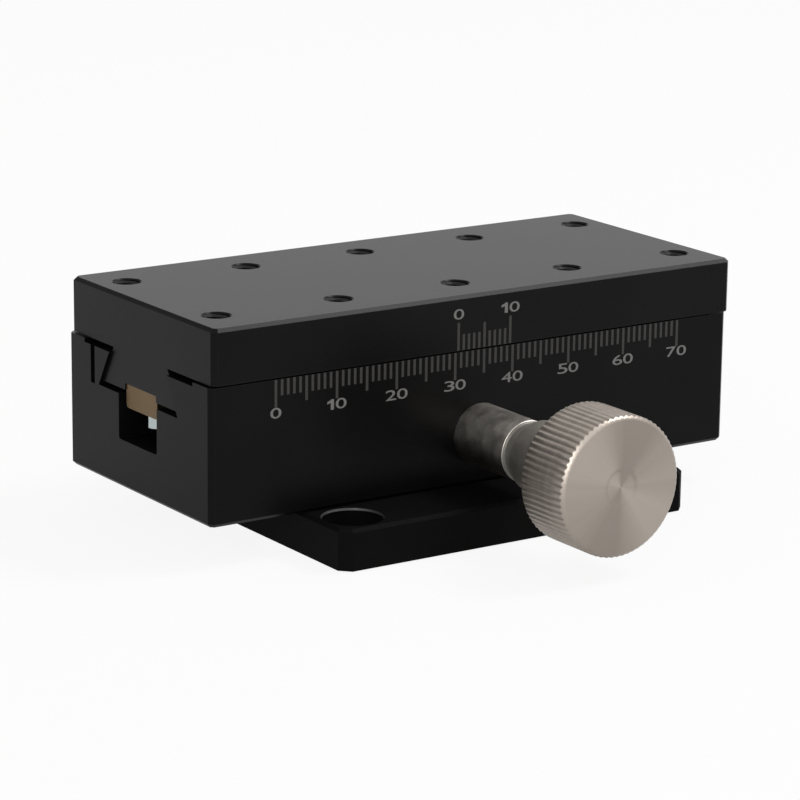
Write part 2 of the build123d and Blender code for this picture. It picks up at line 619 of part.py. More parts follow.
def main():
    """Builds every piece and writes one STEP file for each."""
    os.makedirs("parts", exist_ok=True)
    for name, make in PIECES.items():
        made = make()
        pieces = made if isinstance(made, list) else [made]
        solids = [solid for piece in pieces for solid in piece.solids()]
        export_step(Compound(solids), os.path.join("parts", name + ".step"))
        print(f"{name}: {len(solids)} solids")


main()
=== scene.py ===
import json
import logging
import math
from dataclasses import dataclass, field
from enum import Enum
from functools import partial

import bmesh
import bpy
from bmesh.types import BMesh
from bpy.types import Material, Node, NodeSocket, NodeTree, Object
from mathutils import Matrix, Vector


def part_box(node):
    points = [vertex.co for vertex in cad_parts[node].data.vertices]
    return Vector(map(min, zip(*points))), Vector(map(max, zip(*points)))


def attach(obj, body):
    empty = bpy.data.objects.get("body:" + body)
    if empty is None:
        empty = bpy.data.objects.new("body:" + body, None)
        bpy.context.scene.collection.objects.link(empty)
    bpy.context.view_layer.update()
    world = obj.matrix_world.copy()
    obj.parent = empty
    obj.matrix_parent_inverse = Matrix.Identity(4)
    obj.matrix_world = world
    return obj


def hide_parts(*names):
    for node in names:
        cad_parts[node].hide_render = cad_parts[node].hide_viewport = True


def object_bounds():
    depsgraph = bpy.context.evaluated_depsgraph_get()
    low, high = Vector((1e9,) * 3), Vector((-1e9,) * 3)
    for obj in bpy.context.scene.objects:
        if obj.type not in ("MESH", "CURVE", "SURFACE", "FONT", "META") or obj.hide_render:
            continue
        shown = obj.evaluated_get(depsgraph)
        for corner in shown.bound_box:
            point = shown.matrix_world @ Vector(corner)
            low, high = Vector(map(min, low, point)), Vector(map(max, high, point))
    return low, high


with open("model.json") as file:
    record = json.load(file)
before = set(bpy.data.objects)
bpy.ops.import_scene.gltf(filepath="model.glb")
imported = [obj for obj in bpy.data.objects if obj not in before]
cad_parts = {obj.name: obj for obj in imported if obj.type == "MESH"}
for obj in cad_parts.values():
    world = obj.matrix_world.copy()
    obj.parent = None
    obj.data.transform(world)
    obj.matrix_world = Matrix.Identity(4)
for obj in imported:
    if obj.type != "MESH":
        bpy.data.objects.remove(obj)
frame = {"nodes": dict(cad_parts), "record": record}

CAD_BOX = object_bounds()
MM = 0.001
WHITE = (1.0, 1.0, 1.0, 1.0)
BLACK = (0.0, 0.0, 0.0)
NUMBER_SOCKET = "NodeSocketFloat"
VECTOR_SOCKET = "NodeSocketVector"
LOG = logging.getLogger("linear_stage")

JOIN_DISTANCE = 0.001 * MM
UPRIGHT = (0.0, 0.0, 1.0)

# A noise mostly stays between these two values.
NOISE_LOW = 0.3
NOISE_HIGH = 0.7

# A rubbed edge: its radius, how fast its mask rises, and what is added to its noise.
EDGE_RADIUS = 0.25 * MM
EDGE_GAIN = 9.0
EDGE_LEAST = 0.35
EDGE_SAMPLES = 6

# Painted sheen on a faced front: its turn, the lean of its lobes, its least value and its streaks.
SHEEN_ANGLE = math.radians(150.0)
SHEEN_LEAN = -0.35
SHEEN_LEAST = 0.2
SHEEN_STREAKS = 0.6
SHEEN_STREAK_SCALE = 2.4

# Scale of the wide bands that lie over the lathe marks.
BAND_SCALE = 0.11

# Painted shade ring in a faced front: size, how much it fades on its lower side, strength.
DISH_SHADE_RADIUS = 2.5 * MM
DISH_SHADE_WIDTH = 0.45 * MM
DISH_SHADE_FADE = 0.4
DISH_SHADE_SHARE = 0.55

Triple = tuple[float, float, float]
Span = tuple[float, float]


class Body(Enum):
    """Rigid bodies of the frame that pieces ride on."""

    BASE = "base"
    TABLE = "table"
    PINION = "pinion"


class Slot(Enum):
    """Material slots of the record."""

    FOOT = "anodised_foot"
    BODY = "anodised_body"
    TABLE = "anodised_table"
    BLACK_SCREWS = "black_screws"
    STEEL_SCREWS = "steel_screws"
    PINS = "polished_pins"
    RACK = "rack_brass"
    SLEEVE = "sleeve_steel"
    BUSH = "bush_bronze"
    SPRING = "spring_steel"
    NYLON = "nylon"
    SHAFT = "shaft_steel"
    KNOB = "knob_steel"


class Pattern(Enum):
    """Surface pattern of a metal finish."""

    PLAIN = "plain"
    TURNED = "turned"
    # A faced front also gets a painted sheen and a painted shade ring in its colour.
    FACED = "faced"
    MILLED = "milled"


# ---- node groups ----


def new_group(
    name: str, inputs: dict[str, float | None], outputs: tuple[str, ...]
) -> tuple[NodeTree, Node, Node]:
    """Makes a shader node group with named sockets.

    Args:
        name: Name of the group.
        inputs: Default of each input that is a number, or None for a vector.
        outputs: Names of the outputs, all numbers.

    Returns:
        The group, its input node and its output node.
    """
    group = bpy.data.node_groups.new(name, "ShaderNodeTree")
    for label, default in inputs.items():
        kind = VECTOR_SOCKET if default is None else NUMBER_SOCKET
        socket = group.interface.new_socket(label, in_out="INPUT", socket_type=kind)
        if default is not None:
            socket.default_value = default
    for label in outputs:
        group.interface.new_socket(label, in_out="OUTPUT", socket_type=NUMBER_SOCKET)
    return group, group.nodes.new("NodeGroupInput"), group.nodes.new("NodeGroupOutput")


def feed(tree: NodeTree, value: object, target: NodeSocket) -> None:
    """Links a socket to an input, or sets the input to a number.

    Args:
        tree: Tree that holds both.
        value: Socket, number or vector.
        target: Input that gets it.
    """
    if isinstance(value, NodeSocket):
        tree.links.new(value, target)
    else:
        target.default_value = value


def feed_all(tree: NodeTree, node: Node, values: dict[str, object]) -> None:
    """Feeds several inputs of a node.

    Args:
        tree: Tree that holds the node.
        node: Node whose inputs are fed.
        values: Socket, number or vector for each input's name.
    """
    for label, value in values.items():
        feed(tree, value, node.inputs[label])


def math_node(operation: str, tree: NodeTree, first: object, second: object = None) -> NodeSocket:
    """Adds a Math node.

    Args:
        operation: Name of the operation.
        tree: Tree to add to.
        first: Socket or number for the first value.
        second: Socket or number for the second value, if it has one.

    Returns:
        The node's value socket.
    """
    node = tree.nodes.new("ShaderNodeMath")
    node.operation = operation
    feed(tree, first, node.inputs[0])
    if second is not None:
        feed(tree, second, node.inputs[1])
    return node.outputs[0]


plus = partial(math_node, "ADD")
minus = partial(math_node, "SUBTRACT")
times = partial(math_node, "MULTIPLY")


def noise_node(
    tree: NodeTree, place: NodeSocket, scale: object, detail: float, roughness: float = 0.5,
    line: bool = False,
) -> NodeSocket:
    """Adds a Noise Texture.

    Args:
        tree: Tree to add to.
        place: Position, a vector, or a number where line is set.
        scale: Socket or number for its scale.
        detail: Its number of octaves.
        roughness: How strong its fine octaves are.
        line: Makes it one-dimensional.

    Returns:
        The noise's socket.
    """
    node = tree.nodes.new("ShaderNodeTexNoise")
    if line:
        node.noise_dimensions = "1D"
    where = "W" if line else "Vector"
    feed_all(tree, node, {where: place, "Scale": scale, "Detail": detail, "Roughness": roughness})
    return node.outputs["Fac"]


def dot_node(tree: NodeTree, first: object, second: object) -> NodeSocket:
    """Adds a dot product.

    Args:
        tree: Tree to add to.
        first: Vector or socket.
        second: Vector or socket.

    Returns:
        The product's socket.
    """
    node = tree.nodes.new("ShaderNodeVectorMath")
    node.operation = "DOT_PRODUCT"
    feed(tree, first, node.inputs[0])
    feed(tree, second, node.inputs[1])
    return node.outputs["Value"]


def map_range(
    tree: NodeTree, value: NodeSocket, source: Span, result: Span, smooth: bool = False
) -> NodeSocket:
    """Maps one range onto another.

    Args:
        tree: Tree to add to.
        value: Value to map.
        source: Range of the value.
        result: Range that it is mapped onto.
        smooth: Eases in and out of the range.

    Returns:
        The mapped value's socket.
    """
    node = tree.nodes.new("ShaderNodeMapRange")
    if smooth:
        node.interpolation_type = "SMOOTHSTEP"
    labels = ("Value", "From Min", "From Max", "To Min", "To Max")
    feed_all(tree, node, dict(zip(labels, (value, *source, *result))))
    return node.outputs["Result"]


def grain_group() -> NodeTree:
    """Builds the blasted grain: a fine and a broad noise.

    Returns:
        A group with the outputs Fine and Broad, both from 0 to 1.
    """
    inputs = {"Vector": None, "Scale": 9000.0, "Patches": 55.0}
    group, start, end = new_group("Blasted grain", inputs, ("Fine", "Broad"))
    place = start.outputs["Vector"]
    fine = noise_node(group, place, start.outputs["Scale"], detail=3.0, roughness=0.65)
    broad = noise_node(group, place, start.outputs["Patches"], detail=4.0)
    group.links.new(fine, end.inputs["Fine"])
    group.links.new(broad, end.inputs["Broad"])
    return group


def edge_group() -> NodeTree:
    """Builds the mask of rubbed edges.

    Returns:
        A group with the output Mask, 1 on an edge and 0 on a flat.
    """
    group, start, end = new_group("Rubbed edge", {"Noise": 0.5}, ("Mask",))
    rounded = group.nodes.new("ShaderNodeBevel")
    rounded.samples = EDGE_SAMPLES
    rounded.inputs["Radius"].default_value = EDGE_RADIUS
    plain = group.nodes.new("ShaderNodeNewGeometry")
    away = minus(group, 1.0, dot_node(group, rounded.outputs["Normal"], plain.outputs["Normal"]))
    noise = plus(group, start.outputs["Noise"], EDGE_LEAST)
    patchy = times(group, times(group, away, EDGE_GAIN), noise)
    group.links.new(math_node("MINIMUM", group, patchy, 1.0), end.inputs["Mask"])
    return group


def rings_group() -> NodeTree:
    """Builds the marks of a lathe tool about an axis along Y.

    Returns:
        A group whose output Height follows circles on a face where Facing is 1, and lines round a
        cylinder where it is 0. Broad does the same in wider bands. The third output is a painted
        sheen: it rises and falls twice a turn in lobes, in place of the highlight that lamps
        raise along the lay of a faced surface. The fourth is a painted shade: 1 on a narrow ring
        at the dish's rim, mostly in its top.
    """
    inputs = {"Vector": None, "Pitch": 0.12 * MM, "Facing": 1.0}
    group, start, end = new_group("Lathe marks with painted light", inputs, ("Height", "Broad", "Painted sheen", "Ring"))
    parts = group.nodes.new("ShaderNodeSeparateXYZ")
    group.links.new(start.outputs["Vector"], parts.inputs["Vector"])
    across = times(group, parts.outputs["X"], parts.outputs["X"])
    up = times(group, parts.outputs["Z"], parts.outputs["Z"])
    radius = math_node("SQRT", group, plus(group, across, up))
    swap = group.nodes.new("ShaderNodeMix")
    group.links.new(start.outputs["Facing"], swap.inputs["Factor"])
    group.links.new(parts.outputs["Y"], swap.inputs["A"])
    group.links.new(radius, swap.inputs["B"])
    steps = math_node("DIVIDE", group, swap.outputs["Result"], start.outputs["Pitch"])
    turn = math_node("ARCTAN2", group, parts.outputs["Z"], parts.outputs["X"])
    # Painted sheen: two bright lobes a turn, with streaks, standing in for a lamp's highlight.
    doubled = times(group, minus(group, turn, SHEEN_ANGLE), 2.0)
    lean = times(group, math_node("SINE", group, times(group, doubled, 2.0)), SHEEN_LEAN)
    wave = times(group, plus(group, math_node("COSINE", group, doubled), lean), 0.5)
    uneven = times(group, noise_node(group, turn, SHEEN_STREAK_SCALE, detail=3.0, line=True), SHEEN_STREAKS)
    # Painted shade: a narrow dark ring at the dish's rim, fading towards its lower side.
    away = math_node("ABSOLUTE", group, minus(group, radius, DISH_SHADE_RADIUS))
    near = minus(group, 1.0, math_node("DIVIDE", group, away, DISH_SHADE_WIDTH))
    band = math_node("MAXIMUM", group, near, 0.0)
    upper = plus(group, times(group, math_node("SINE", group, turn), DISH_SHADE_FADE), 1.0 - DISH_SHADE_FADE)
    results = {
        "Height": noise_node(group, steps, 1.0, detail=2.0, line=True),
        "Broad": noise_node(group, steps, BAND_SCALE, detail=1.0, line=True),
        "Painted sheen": plus(group, plus(group, wave, SHEEN_LEAST), uneven),
        "Ring": times(group, band, upper),
    }
    for label, value in results.items():
        group.links.new(value, end.inputs[label])
    return group


@dataclass
class Groups:
    """Node groups that the materials share."""

    grain: NodeTree = field(default_factory=grain_group)
    edge: NodeTree = field(default_factory=edge_group)
    rings: NodeTree = field(default_factory=rings_group)


# ---- materials ----


def group_node(tree: NodeTree, group: NodeTree, **values: object) -> Node:
    """Places a node group in a tree.

    Args:
        tree: Tree to add to.
        group: Group to place.
        **values: Input values, each a number or a socket to link.

    Returns:
        The group's node.
    """
    node = tree.nodes.new("ShaderNodeGroup")
    node.node_tree = group
    feed_all(tree, node, values)
    return node


def spread(tree: NodeTree, value: NodeSocket, low: float = 0.0, high: float = 1.0) -> NodeSocket:
    """Maps a noise onto a range.

    Args:
        tree: Tree to add to.
        value: Noise.
        low: Result where the noise is low.
        high: Result where the noise is high.

    Returns:
        The mapped value's socket.
    """
    return map_range(tree, value, (NOISE_LOW, NOISE_HIGH), (low, high))


def mix_colours(tree: NodeTree, factor: NodeSocket, first: object, second: object) -> NodeSocket:
    """Mixes two colours.

    Args:
        tree: Tree to add to.
        factor: Share of the second colour.
        first: Colour or socket at 0.
        second: Colour or socket at 1.

    Returns:
        The mixed colour's socket.
    """
    node = tree.nodes.new("ShaderNodeMix")
    node.data_type = "RGBA"
    tree.links.new(factor, node.inputs["Factor"])
    colours = [socket for socket in node.inputs if socket.type == "RGBA"]
    for socket, value in zip(colours, (first, second)):
        feed(tree, value if isinstance(value, NodeSocket) else (*value, 1.0), socket)
    return next(socket for socket in node.outputs if socket.type == "RGBA")


def bump(tree: NodeTree, height: NodeSocket, distance: float) -> NodeSocket:
    """Turns a height into a normal.

    Args:
        tree: Tree to add to.
        height: Height from 0 to 1.
        distance: Depth of the relief in metres.

    Returns:
        The normal's socket.
    """
    node = tree.nodes.new("ShaderNodeBump")
    feed_all(tree, node, {"Distance": distance, "Height": height})
    return node.outputs["Normal"]


def shifted(tree: NodeTree, place: NodeSocket, label: str, value: Triple) -> NodeSocket:
    """Moves or stretches a position.

    Args:
        tree: Tree to add to.
        place: Position to change.
        label: Location or Scale.
        value: How far it moves, or by how much it is stretched.

    Returns:
        The new position's socket.
    """
    node = tree.nodes.new("ShaderNodeMapping")
    feed_all(tree, node, {label: value, "Vector": place})
    return node.outputs["Vector"]


def blank_material(name: str) -> tuple[Material, Node, NodeSocket]:
    """Starts a material.

    Args:
        name: Name of the material.

    Returns:
        The material, its Principled BSDF and a socket with Object coordinates.
    """
    material = bpy.data.materials.new(name)
    material.use_nodes = True
    tree = material.node_tree
    shader = tree.nodes["Principled BSDF"]
    coordinates = tree.nodes.new("ShaderNodeTexCoord")
    return material, shader, coordinates.outputs["Object"]


@dataclass(frozen=True)
class Anodised:
    """Blasted and anodised aluminium."""

    name: str
    colour: Triple = (0.0026, 0.0024, 0.0026)
    faded: Triple = (0.0050, 0.0047, 0.0049)
    rubbed: Triple = (0.05, 0.05, 0.052)
    specular: float = 0.10
    roughness: Span = (0.27, 0.36)
    grain_scale: float = 9000.0
    grain_depth: float = 0.004 * MM
    rub: float = 0.3

    def build(self, groups: Groups) -> Material:
        """Builds the material.

        Args:
            groups: Shared node groups.

        Returns:
            The finished material.
        """
        material, shader, place = blank_material(self.name)
        tree = material.node_tree
        grain = group_node(tree, groups.grain, Vector=place, Scale=self.grain_scale)
        fine, broad = grain.outputs["Fine"], grain.outputs["Broad"]
        body = mix_colours(tree, spread(tree, broad), self.colour, self.faded)
        edge = group_node(tree, groups.edge, Noise=broad)
        rub = times(tree, edge.outputs["Mask"], self.rub)
        looks = {
            "Base Color": mix_colours(tree, rub, body, self.rubbed),
            "Specular IOR Level": self.specular,
            "Roughness": spread(tree, fine, *self.roughness),
            "Normal": bump(tree, fine, self.grain_depth),
        }
        feed_all(tree, shader, looks)
        return material


@dataclass(frozen=True)
class Metal:
    """Bare or blackened metal with the marks of its making."""

    name: str
    colour: Triple
    worn: Triple
    roughness: Span = (0.28, 0.38)
    pattern: Pattern = Pattern.PLAIN
    pitch: float = 0.12 * MM
    depth: float = 0.002 * MM
    patches: float = 55.0
    anisotropy: float = 0.0
    axis_height: float = 0.0
    # Painted shade: how much darker the colour gets towards the underside, and the heights from the
    # axis over which it fades in.
    film: float = 0.0
    film_edges: Span = (-2.2 * MM, 1.6 * MM)
    grain_scale: float = 5000.0
    grain_share: float = 0.3
    mill_scale: float = 4000.0
    mill_stretch: Triple = (0.06, 1.0, 1.0)

    def marks(
        self, tree: NodeTree, groups: Groups, place: NodeSocket, centred: NodeSocket
    ) -> tuple[NodeSocket, NodeSocket]:
        """Makes the marks that the tool left.

        Args:
            tree: Tree to add to.
            groups: Shared node groups.
            place: Position.
            centred: Position measured from the axis.

        Returns:
            The sockets of the relief and of the share of the second colour; on a faced front that
            share is a painted sheen and a painted shade.
        """
        grain = group_node(
            tree, groups.grain, Vector=place, Scale=self.grain_scale, Patches=self.patches
        )
        height, broad = grain.outputs["Fine"], grain.outputs["Broad"]
        if self.pattern in (Pattern.TURNED, Pattern.FACED):
            facing = float(self.pattern is Pattern.FACED)
            rings = group_node(
                tree, groups.rings, Vector=centred, Pitch=self.pitch, Facing=facing
            ).outputs
            height = plus(tree, rings["Height"], times(tree, height, self.grain_share))
            broad = times(tree, plus(tree, broad, rings["Broad"]), 0.5)
            # On a faced front the colour share is a painted sheen in two lobes plus a painted shade
            # ring.
            if self.pattern is Pattern.FACED:
                # Painted shade at the dish's rim, mostly at its top.
                ring = times(tree, rings["Ring"], DISH_SHADE_SHARE)
                return height, plus(tree, minus(tree, 1.0, rings["Painted sheen"]), ring)
        if self.pattern is Pattern.MILLED:
            long = shifted(tree, place, "Scale", self.mill_stretch)
            lines = group_node(tree, groups.grain, Vector=long, Scale=self.mill_scale)
            height = lines.outputs["Fine"]
        return height, spread(tree, broad)

    def filmed(self, tree: NodeTree, base: NodeSocket, centred: NodeSocket) -> NodeSocket:
        """Darkens the underside with painted shade, for the dark foot plate that it reflects there.

        Args:
            tree: Tree to add to.
            base: Colour without the painted shade.
            centred: Position measured from the axis.

        Returns:
            The socket of the darkened colour.
        """
        parts = tree.nodes.new("ShaderNodeSeparateXYZ")
        tree.links.new(centred, parts.inputs["Vector"])
        shares = (1.0 - self.film, 1.0)
        # Share of the colour kept under the painted shade: 1 on top, less towards the bottom.
        clean = map_range(tree, parts.outputs["Z"], self.film_edges, shares, smooth=True)
        return mix_colours(tree, clean, BLACK, base)

    def build(self, groups: Groups) -> Material:
        """Builds the material.

        Args:
            groups: Shared node groups.

        Returns:
            The finished material.
        """
        material, shader, place = blank_material(self.name)
        tree = material.node_tree
        centred = shifted(tree, place, "Location", (0.0, 0.0, -self.axis_height))
        height, share = self.marks(tree, groups, place, centred)
        base = mix_colours(tree, share, self.colour, self.worn)
        # Painted shade on the underside: the colour gets darker towards the bottom.
        if self.film:
            base = self.filmed(tree, base, centred)
        looks = {
            "Metallic": 1.0,
            "Base Color": base,
            "Roughness": spread(tree, height, *self.roughness),
            "Normal": bump(tree, height, self.depth),
        }
        if self.anisotropy:
            tangent = tree.nodes.new("ShaderNodeTangent")
            tangent.direction_type = "RADIAL"
            tangent.axis = "Y"
            looks.update(Anisotropic=self.anisotropy, Tangent=tangent.outputs["Tangent"])
        feed_all(tree, shader, looks)
        return material


@dataclass(frozen=True)
class Paint:
    """Dull filling of an engraved mark, or a plain plastic."""

    name: str
    colour: Triple
    thin: Triple
    roughness: float = 0.6
    specular: float = 0.2
    grain_scale: float = 6000.0
    grain_depth: float = 0.003 * MM

    def build(self, groups: Groups) -> Material:
        """Builds the material.

        Args:
            groups: Shared node groups.

        Returns:
            The finished material.
        """
        material, shader, place = blank_material(self.name)
        tree = material.node_tree
        grain = group_node(tree, groups.grain, Vector=place, Scale=self.grain_scale)
        fine = grain.outputs["Fine"]
        looks = {
            "Base Color": mix_colours(tree, spread(tree, fine), self.colour, self.thin),
            "Roughness": self.roughness,
            "Specular IOR Level": self.specular,
            "Normal": bump(tree, fine, self.grain_depth),
        }
        feed_all(tree, shader, looks)
        return material


# ---- mesh helpers ----


def piece_from(bm: BMesh, name: str, materials: list[Material], smooth: float = 30.0) -> Object:
    """Turns a bmesh into an object at the origin.

    Args:
        bm: Finished bmesh, which is freed.
        name: Name of the piece.
        materials: Materials of the piece, in the order of its faces' indices.
        smooth: Edges sharper than this many degrees stay sharp.

    Returns:
        The new object.
    """
    mesh = bpy.data.meshes.new(name)
    bm.to_mesh(mesh)
    bm.free()
    for material in materials:
        mesh.materials.append(material)
    mesh.shade_smooth()
    mesh.set_sharp_from_angle(angle=math.radians(smooth))
    piece = bpy.data.objects.new(name, mesh)
    bpy.context.scene.collection.objects.link(piece)
    return piece


def seat(piece: Object, body: Body, slot: Slot, *replaced: str) -> None:
    """Puts a piece on its body.

    Args:
        piece: Finished piece.
        body: Body that it rides on.
        slot: Material slot of the record that it takes its finish from. Not used.
        *replaced: CAD nodes that it stands for.
    """
    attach(piece, body.value)
    if replaced:
        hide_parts(*replaced)
    LOG.info("%s rides on %s: %d faces", piece.name, body.value, len(piece.data.polygons))


def spin(
    bm: BMesh, geometry: list, centre: Triple, axis: Triple, steps: int, turns: int = 1,
    rise: float = 0.0,
) -> None:
    """Spins geometry about a line.

    Args:
        bm: Mesh that holds the geometry.
        geometry: Points and edges, or a face, to spin.
        centre: Point on the line.
        axis: Direction of the line.
        steps: Number of steps in all.
        turns: Number of turns.
        rise: How far it climbs at each step; where it climbs, its ends stay apart.
    """
    bmesh.ops.spin(
        bm, geom=geometry, cent=centre, axis=axis, dvec=(0.0, 0.0, rise),
        angle=2.0 * math.pi * turns, steps=steps, use_merge=not rise, use_normal_flip=False,
        use_duplicate=False,
    )


def clean(bm: BMesh) -> None:
    """Joins points that lie together and turns every face outwards.

    Args:
        bm: Mesh to clean.
    """
    bmesh.ops.remove_doubles(bm, verts=bm.verts[:], dist=JOIN_DISTANCE)
    bmesh.ops.recalc_face_normals(bm, faces=bm.faces[:])


def spun(outline: list[Span], axis_z: float, steps: int) -> BMesh:
    """Spins an outline about a line along Y.

    Args:
        outline: Radius and Y of each point, closed on the axis or on itself.
        axis_z: Height of the line.
        steps: Number of steps round.

    Returns:
        A closed bmesh whose faces point outwards.
    """
    bm = bmesh.new()
    points = [bm.verts.new((0.0, y, axis_z + radius)) for radius, y in outline]
    edges = [bm.edges.new(pair) for pair in zip(points, points[1:])]
    if outline[0][0] > 0:
        edges.append(bm.edges.new((points[-1], points[0])))
    spin(bm, points + edges, (0.0, 0.0, axis_z), (0.0, 1.0, 0.0), steps)
    clean(bm)
    return bm


# ---- sub-assemblies ----


def knob_axis() -> float:
    """Gives the height of the line that the knob turns about."""
    low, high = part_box("knob")
    return (low.z + high.z) / 2


@dataclass
class Knob:
    """Knurled steel knob with its tapered hub."""

    radius: float = 10.0 * MM
    length: float = 10.0 * MM
    chamfer: float = 0.6 * MM
    hub_radius: float = 5.2 * MM
    nose_radius: float = 4.2 * MM
    nose_length: float = 2.2 * MM
    bore: float = 2.52 * MM
    bore_depth: float = 16.0 * MM
    drill_tip: float = 0.6 * MM
    dish: float = 2.75 * MM
    dish_depth: float = 0.16 * MM
    dish_profile: tuple[Span, ...] = (
        (0.0, 1.0), (0.6, 0.95), (0.8, 0.75), (1.0, 0.05), (1.04, 0.0),
    )
    face_ring: float = 0.6
    face_reach: float = 0.98
    soft: float = 0.06 * MM
    cut_shares: tuple[float, ...] = (1.1, 0.8, 0.55, 0.3, 0.1)
    band_shares: tuple[float, ...] = (0.3, 0.5, 0.7)
    fillet_angles: tuple[int, ...] = (0, 30, 60, 90)
    ridges: int = 68
    steps_per_ridge: int = 8
    knurl_depth: float = 0.17 * MM
    flat_share: float = 0.25
    root_fillet: float = 0.5 * MM
    smooth: float = 42.0

    def outline(self) -> list[Span]:
        """Gives the knob's section, radius and Y, from its front's middle to its bore's end."""
        low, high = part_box("knob")
        front, hub_end, back = low.y, high.y, low.y + self.length
        edge, soft = self.radius - self.chamfer, self.soft
        cuts = [self.knurl_depth * share for share in self.cut_shares]
        dish = [
            (self.dish * radius, front + self.dish_depth * depth)
            for radius, depth in self.dish_profile
        ]
        rim = [
            (edge * self.face_ring, front),
            (edge - soft, front),
            (edge + soft * 0.5, front + soft * 0.5),
            *[(self.radius - cut, front + self.chamfer - cut) for cut in cuts],
            (self.radius, front + self.chamfer + soft * 0.5),
        ]
        band = [(self.radius, front + self.length * share) for share in self.band_shares]
        rear = [
            (self.radius, back - self.chamfer - soft * 0.5),
            *[(self.radius - cut, back - self.chamfer + cut) for cut in reversed(cuts)],
            (edge, back - soft * 0.3),
            (edge - soft, back),
        ]
        fillet = [
            (
                self.hub_radius + self.root_fillet * (1 - math.sin(turn)),
                back + self.root_fillet * (1 - math.cos(turn)),
            )
            for turn in map(math.radians, self.fillet_angles)
        ]
        hub = [
            (self.hub_radius, hub_end - self.nose_length - soft),
            (self.hub_radius - soft, hub_end - self.nose_length + soft),
            (self.nose_radius + soft, hub_end - soft * 2),
            (self.nose_radius - soft, hub_end),
            (self.bore, hub_end),
            (self.bore, hub_end - self.bore_depth),
            (0.0, hub_end - self.bore_depth - self.drill_tip),
        ]
        return dish + rim + band + rear + fillet + hub

    def knurl(self, bm: BMesh, axis_z: float) -> None:
        """Cuts the knurl's grooves into the round knob.

        Args:
            bm: Mesh of the knob.
            axis_z: Height of its axis.
        """
        for vert in bm.verts:
            across, up = vert.co.x, vert.co.z - axis_z
            distance = math.hypot(across, up)
            wave = 0.5 - 0.5 * math.cos(self.ridges * math.atan2(across, up))
            groove = max(0.0, wave - self.flat_share) / (1.0 - self.flat_share)
            limit = self.radius - self.knurl_depth * groove
            if distance > limit:
                scale = limit / distance
                vert.co.x, vert.co.z = across * scale, axis_z + up * scale

    def build(self, knurled: Material, faced: Material, turned: Material) -> None:
        """Builds the knob and puts it on its shaft.

        Args:
            knurled: Material of the grip.
            faced: Material of the faced front.
            turned: Material of the hub.
        """
        axis_z = knob_axis()
        bm = spun(self.outline(), axis_z, self.ridges * self.steps_per_ridge)
        self.knurl(bm, axis_z)
        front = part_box("knob")[0].y
        for face in bm.faces:
            place = face.calc_center_median().y - front
            is_hub, is_face = place > self.length, place < self.chamfer * self.face_reach
            face.material_index = 2 if is_hub else 1 if is_face else 0
        piece = piece_from(bm, "knob_turned", [knurled, faced, turned], smooth=self.smooth)
        seat(piece, Body.PINION, Slot.KNOB, "knob")


@dataclass
class Sleeve:
    """Turned sleeve that carries the knob's shaft."""

    radius: float = 4.5 * MM
    bore: float = 3.52 * MM
    bore_depth: float = 8.0 * MM
    relief: float = 2.8 * MM
    chamfer: float = 0.3 * MM
    rim_reach: float = 0.9
    soft: float = 0.05 * MM
    steps: int = 160

    def outline(self) -> list[Span]:
        """Gives the sleeve's section, radius and Y, round its whole wall."""
        low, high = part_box("pinion_sleeve")
        front, back = low.y, high.y
        return [
            (self.bore, front),
            (self.radius - self.chamfer - self.soft, front),
            (self.radius - self.chamfer, front + self.soft),
            (self.radius - self.soft, front + self.chamfer),
            (self.radius, front + self.chamfer + self.soft),
            (self.radius, (front + back) / 2),
            (self.radius, back),
            (self.relief, back),
            (self.relief, front + self.bore_depth),
            (self.bore, front + self.bore_depth),
        ]

    def build(self, wall: Material, rim: Material) -> None:
        """Builds the sleeve.

        Args:
            wall: Material of the sleeve.
            rim: Material of its chamfered front edge, darkened as painted shade.
        """
        low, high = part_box("pinion_sleeve")
        bm = spun(self.outline(), (low.z + high.z) / 2, self.steps)
        rim_end = low.y + self.chamfer * self.rim_reach
        for face in bm.faces:
            face.material_index = 1 if face.calc_center_median().y < rim_end else 0
        piece = piece_from(bm, "sleeve_turned", [wall, rim])
        seat(piece, Body.BASE, Slot.SLEEVE, "pinion_sleeve")


@dataclass
class TableThreads:
    """Screw threads in the table's ten through holes."""

    columns: int = 5
    pitch_x: float = 20.0 * MM
    pitch_y: float = 25.0 * MM
    wall: float = 2.0 * MM
    crest: float = 1.64 * MM
    pitch: float = 0.7 * MM
    steps: int = 20
    end_gap: float = 0.2 * MM
    height: float = 8.0 * MM
    start_angle: float = math.radians(130.0)
    profile: Triple = (0.40, 0.50, 0.9)
    overlap: float = 0.01 * MM
    smooth: float = 25.0

    def add_thread(self, bm: BMesh, x: float, y: float, top: float) -> None:
        """Adds one thread as a closed ridge that winds down the hole.

        Args:
            bm: Mesh that gets the thread.
            x: Place of the hole along X.
            y: Place of the hole along Y.
            top: Height of the table's face.
        """
        usable = self.height - 2 * self.end_gap - self.pitch
        turns = int(usable / self.pitch)
        rise, fall, end = (self.pitch * share for share in self.profile)
        low = top - self.end_gap - self.pitch * turns - end
        base = self.wall + self.overlap
        corners = [(base, 0.0), (self.crest, rise), (self.crest, fall), (base, end)]
        across, along = math.cos(self.start_angle), math.sin(self.start_angle)
        ring = [
            bm.verts.new((x + radius * across, y + radius * along, low + z))
            for radius, z in corners
        ]
        step = self.pitch / self.steps
        spin(bm, [bm.faces.new(ring)], (x, y, low), UPRIGHT, turns * self.steps, turns, step)

    def build(self, material: Material) -> None:
        """Builds all the threads as one piece.

        Args:
            material: Material of the table.
        """
        low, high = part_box("table_plate")
        centre = (low.x + high.x) / 2
        bm = bmesh.new()
        for column in range(self.columns):
            x = centre + (column - (self.columns - 1) / 2) * self.pitch_x
            for side in (-1, 1):
                self.add_thread(bm, x, side * self.pitch_y / 2, high.z)
        bmesh.ops.recalc_face_normals(bm, faces=bm.faces[:])
        piece = piece_from(bm, "table_threads", [material], smooth=self.smooth)
        seat(piece, Body.TABLE, Slot.TABLE)


